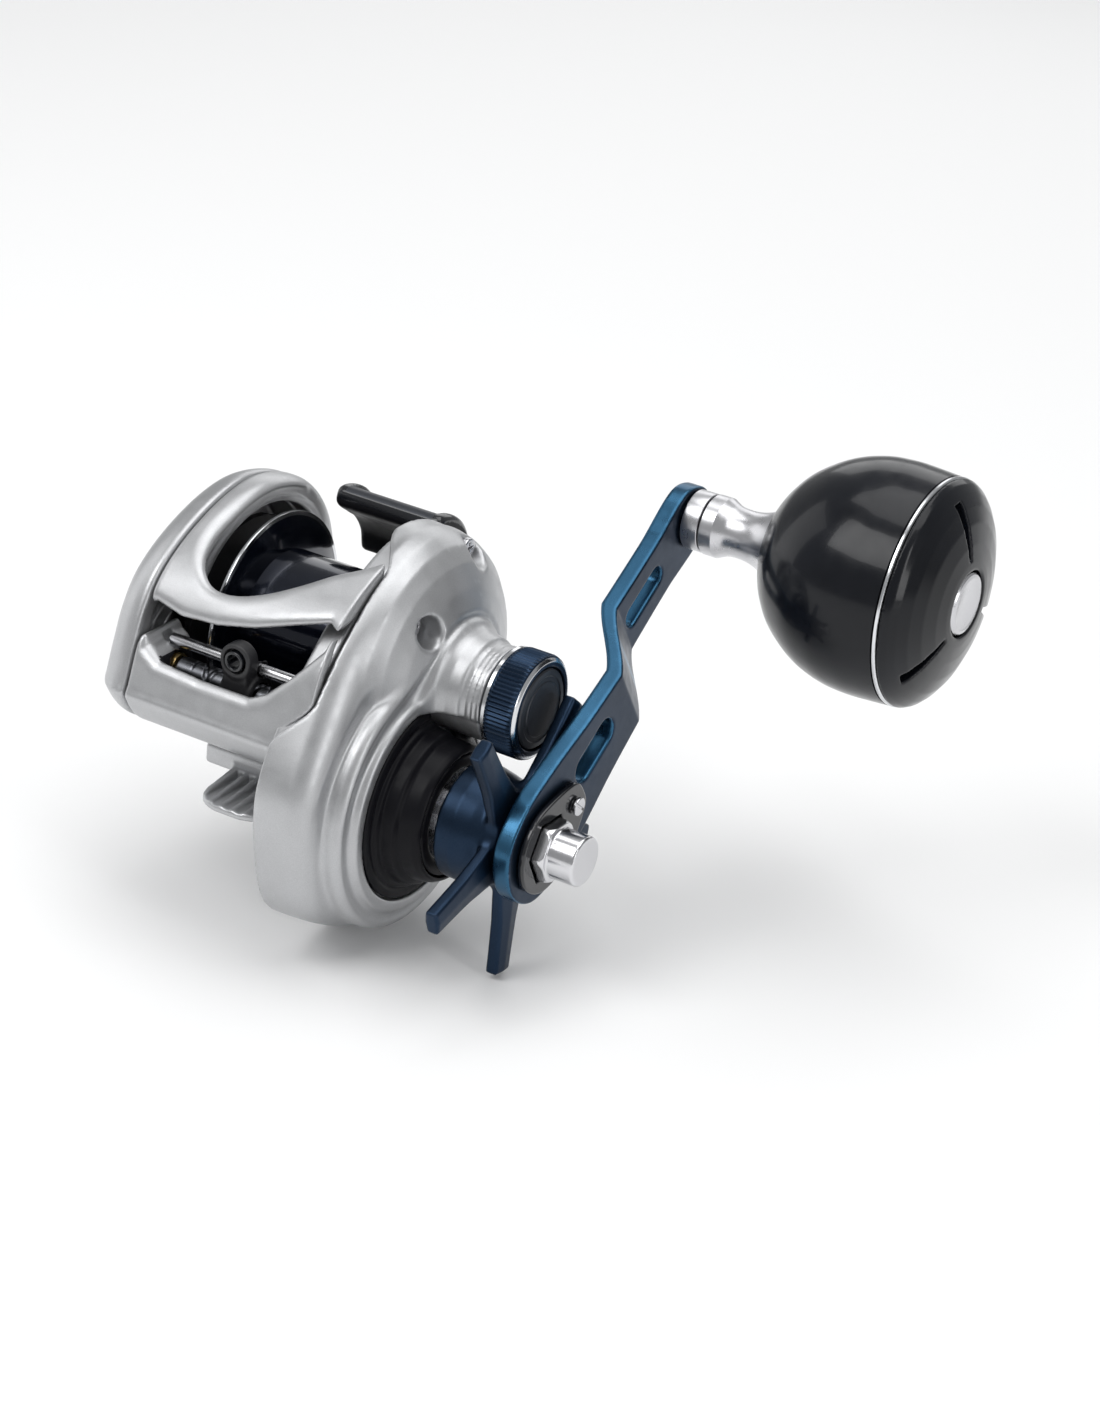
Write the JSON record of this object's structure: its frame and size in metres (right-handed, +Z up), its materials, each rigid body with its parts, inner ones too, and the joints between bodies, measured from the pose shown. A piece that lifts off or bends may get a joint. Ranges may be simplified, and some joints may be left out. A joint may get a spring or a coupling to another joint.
{
  "type": "fishing reel",
  "caption": "Low-profile baitcasting fishing reel with a rod foot, level-wind line guide, star drag, cast control knob, thumb bar and a cranked power handle with a round knob.",
  "frame": {"origin": "middle of the foot's flat underside, where the reel sits on a rod's reel seat", "axes": "+X towards the handle and along every shaft, -Y forward to where the line leaves, +Z up from the rod"},
  "size_m": [0.1305, 0.1118, 0.0897],
  "materials": {
    "silver_paint": "satin silver paint on cast aluminium",
    "black_trim": "satin black",
    "spool_black": "black anodised, glossy",
    "dark_plastic": "moulded, matt",
    "steel": "ground",
    "bright_metal": "bright plated",
    "brass": "machined",
    "carbon": "woven carbon friction disc",
    "blue_anodised": "steel-blue anodised, satin",
    "knob_black": "glossy charcoal"
  },
  "bodies": {
    "body": {"frame": "silver_paint", "palm_cover": "silver_paint", "gear_cover": "silver_paint", "drag_bezel": "black_trim", "level_wind_insert": "dark_plastic", "guide_rod": "steel", "worm_bushing_palm": "brass", "worm_bushing_gear": "brass", "idler_stub": "steel", "shaft_bearing": "steel", "roller_clutch": "steel", "pinion_bearing": "steel", "spool_bearing_gear": "steel", "spool_bearing_palm": "steel", "brake_plate": "dark_plastic", "cover_screw_front": "bright_metal", "cover_screw_rear": "bright_metal"},
    "spool_assembly": {"spool": "spool_black", "spool_shaft": "steel", "clutch_pin": "steel", "brake_hub": "dark_plastic"},
    "clutch": {"clutch_yoke": "dark_plastic"},
    "pinion": {"pinion_gear": "brass"},
    "crank": {"drive_shaft": "steel", "level_wind_drive_gear": "dark_plastic", "drive_gear": "brass", "drag_washer": "carbon", "pressure_plate": "steel", "clutch_sleeve": "steel", "spring_washer": "steel", "handle_arm": "blue_anodised", "handle_nut": "bright_metal", "nut_retainer": "black_trim", "retainer_screw": "bright_metal", "knob_post": "steel", "knob_collar": "bright_metal"},
    "star": {"star_drag": "blue_anodised", "star_nut": "brass"},
    "knob": {"knob_neck": "bright_metal", "knob_body": "knob_black", "knob_ring": "bright_metal", "knob_cover": "knob_black", "knob_bearing": "steel", "knob_cap": "bright_metal"},
    "cast_control": {"cast_knob": "black_trim", "cast_face": "dark_plastic", "cast_spacer": "brass"},
    "thumb": {"thumb_bar": "black_trim", "clutch_plate": "steel"},
    "guide": {"line_guide": "dark_plastic", "guide_eye": "steel"},
    "worm": {"worm_shaft": "steel", "worm_gear": "dark_plastic"},
    "idler": {"idler_gear": "dark_plastic"},
    "brake_control": {"brake_dial": "black_trim"}
  },
  "joints": [
    {"name": "crank_turn", "type": "hinge", "parent": "body", "child": "crank", "pos_m": [0.03, -0.0096, 0.0046], "axis": [1, 0, 0], "continuous": true},
    {"name": "spool_spin", "type": "hinge", "parent": "body", "child": "spool_assembly", "pos_m": [0, 0, 0.025], "axis": [1, 0, 0], "continuous": true},
    {"name": "clutch_slide", "type": "slide", "parent": "body", "child": "clutch", "axis": [1, 0, 0], "range_m": [0, 0.0012]},
    {"name": "pinion_spin", "type": "hinge", "parent": "clutch", "child": "pinion", "pos_m": [0.022, 0, 0.025], "axis": [1, 0, 0], "continuous": true},
    {"name": "star_drag_turn", "type": "hinge", "parent": "crank", "child": "star", "pos_m": [0.045, -0.0096, 0.0046], "axis": [1, 0, 0], "range_deg": [-180, 180]},
    {"name": "knob_spin", "type": "hinge", "parent": "crank", "child": "knob", "pos_m": [0.07, 0.04978, 0.04602], "axis": [1, 0, 0], "continuous": true},
    {"name": "cast_knob_turn", "type": "hinge", "parent": "body", "child": "cast_control", "pos_m": [0.04, 0, 0.025], "axis": [1, 0, 0], "range_deg": [-360, 360]},
    {"name": "thumb_bar_press", "type": "slide", "parent": "body", "child": "thumb", "axis": [0, 0, -1], "range_m": [0, 0.0045]},
    {"name": "line_guide_travel", "type": "slide", "parent": "body", "child": "guide", "axis": [1, 0, 0], "range_m": [-0.008, 0.008]},
    {"name": "worm_spin", "type": "hinge", "parent": "body", "child": "worm", "pos_m": [0, -0.02601, 0.023], "axis": [1, 0, 0], "continuous": true},
    {"name": "idler_spin", "type": "hinge", "parent": "body", "child": "idler", "pos_m": [0.018, -0.02365, 0.01085], "axis": [1, 0, 0], "continuous": true},
    {"name": "brake_dial_turn", "type": "hinge", "parent": "body", "child": "brake_control", "pos_m": [-0.028, -0.012, 0.021], "axis": [-1, 0, 0], "range_deg": [0, 270]}
  ],
  "couplings": [
    {"joint": "spool_spin", "follows": "crank_turn", "ratio": -7.6364},
    {"joint": "pinion_spin", "follows": "crank_turn", "ratio": -7.6364},
    {"joint": "worm_spin", "follows": "crank_turn", "ratio": 1.5333},
    {"joint": "idler_spin", "follows": "crank_turn", "ratio": -1.2778},
    {"joint": "clutch_slide", "follows": "thumb_bar_press", "ratio": 0.26667}
  ]
}
